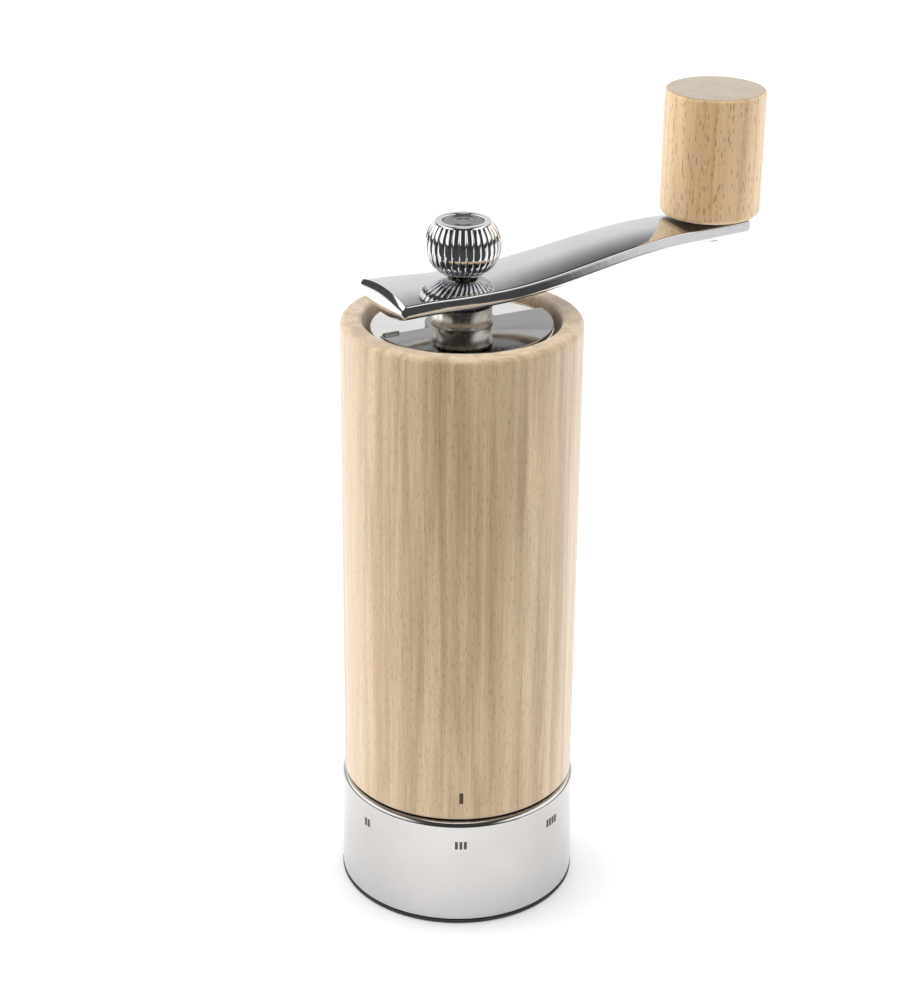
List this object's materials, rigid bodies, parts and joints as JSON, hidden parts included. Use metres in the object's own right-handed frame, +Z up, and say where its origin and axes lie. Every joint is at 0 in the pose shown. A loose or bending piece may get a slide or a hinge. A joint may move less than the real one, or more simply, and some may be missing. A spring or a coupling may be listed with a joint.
{
  "type": "manual burr coffee grinder",
  "caption": "Upright hand coffee mill: cylindrical beech body, steel grind-setting ring at the foot, side crank with a wooden knob and a fluted ball nut on top.",
  "frame": {"origin": "on the mill's axis, at the plane that its foot stands on; the shaft's lower end is 1 mm above it", "axes": "+Z up along the mill's axis; the pointer mark on the body faces -Y; +X is to the right of the mark; at rest the crank points 28.73 degrees from +X towards +Y"},
  "size_m": [0.1063, 0.078, 0.2052],
  "materials": {
    "body_wood": "fine-sanded beech, thin satin lacquer",
    "knob_wood": "fine-sanded beech, thin satin lacquer",
    "ring_steel": "stainless steel, finely polished round the ring",
    "polished_steel": "polished stainless sheet",
    "crank_chrome": "bright chrome plate",
    "satin_nickel": "warm nickel plate, slightly satin",
    "burr_steel": "hardened, cut and blasted burr steel",
    "spring_steel": "plain spring steel",
    "zinc": "zinc-plated steel, satin",
    "brass": "turned brass",
    "black_plastic": "moulded black plastic",
    "foot_rubber": "matt black rubber"
  },
  "bodies": {
    "mill": {"wood_body": "body_wood", "burr_housing": "black_plastic", "stator_burr": "burr_steel", "stator_clip": "spring_steel", "click_spring": "spring_steel", "ring_clip": "spring_steel", "housing_screw_1": "zinc", "housing_screw_2": "zinc", "housing_screw_3": "zinc", "upper_bearing": "satin_nickel", "cover_plate": "polished_steel"},
    "shutter": {"fill_shutter": "polished_steel"},
    "setting_ring": {"grind_ring": "ring_steel", "thread_ring": "black_plastic", "foot_rim": "foot_rubber"},
    "bridge": {"lower_bridge": "zinc", "bridge_bush": "brass", "thrust_washer": "spring_steel"},
    "crank": {"drive_shaft": "zinc", "burr_spring": "spring_steel", "spring_seat": "zinc", "shaft_clip": "spring_steel", "hub_spool": "satin_nickel", "crank_arm": "crank_chrome", "knob_spindle": "crank_chrome", "knob_washer": "spring_steel", "knob_clip": "spring_steel"},
    "rotor": {"rotor_burr": "burr_steel"},
    "knob": {"crank_knob": "knob_wood", "knob_bush": "brass"},
    "finial_carrier": {"finial_insert": "brass"},
    "finial": {"finial_ball": "crank_chrome", "finial_badge": "satin_nickel"}
  },
  "joints": [
    {"name": "crank_turn", "type": "hinge", "parent": "mill", "child": "crank", "pos_m": [0, 0, 0.156], "axis": [0, 0, 1], "continuous": true},
    {"name": "knob_spin", "type": "hinge", "parent": "crank", "child": "knob", "pos_m": [0.0627, 0.03437, 0.19], "axis": [0, 0, 1], "continuous": true},
    {"name": "ring_turn", "type": "hinge", "parent": "mill", "child": "setting_ring", "pos_m": [0, 0, 0.015], "axis": [0, 0, 1], "range_deg": [-154.29, 102.86]},
    {"name": "bridge_lift", "type": "slide", "parent": "mill", "child": "bridge", "axis": [0, 0, 1], "range_m": [-0.0015, 0.001]},
    {"name": "rotor_lift", "type": "slide", "parent": "crank", "child": "rotor", "axis": [0, 0, 1], "range_m": [-0.0015, 0.001], "deforming": ["burr_spring"]},
    {"name": "shutter_turn", "type": "hinge", "parent": "mill", "child": "shutter", "pos_m": [0, 0, 0.155], "axis": [0, 0, 1], "range_deg": [0, 180]},
    {"name": "finial_lift", "type": "slide", "parent": "crank", "child": "finial_carrier", "axis": [0, 0, 1], "range_m": [0, 0.0056]},
    {"name": "finial_turn", "type": "hinge", "parent": "finial_carrier", "child": "finial", "pos_m": [0, 0, 0.175], "axis": [0, 0, 1], "range_deg": [0, 2520]}
  ],
  "couplings": [
    {"joint": "ring_turn", "follows": "bridge_lift", "rad_per_m": 1795.2},
    {"joint": "rotor_lift", "follows": "bridge_lift", "ratio": 1},
    {"joint": "finial_turn", "follows": "finial_lift", "rad_per_m": 7854}
  ]
}
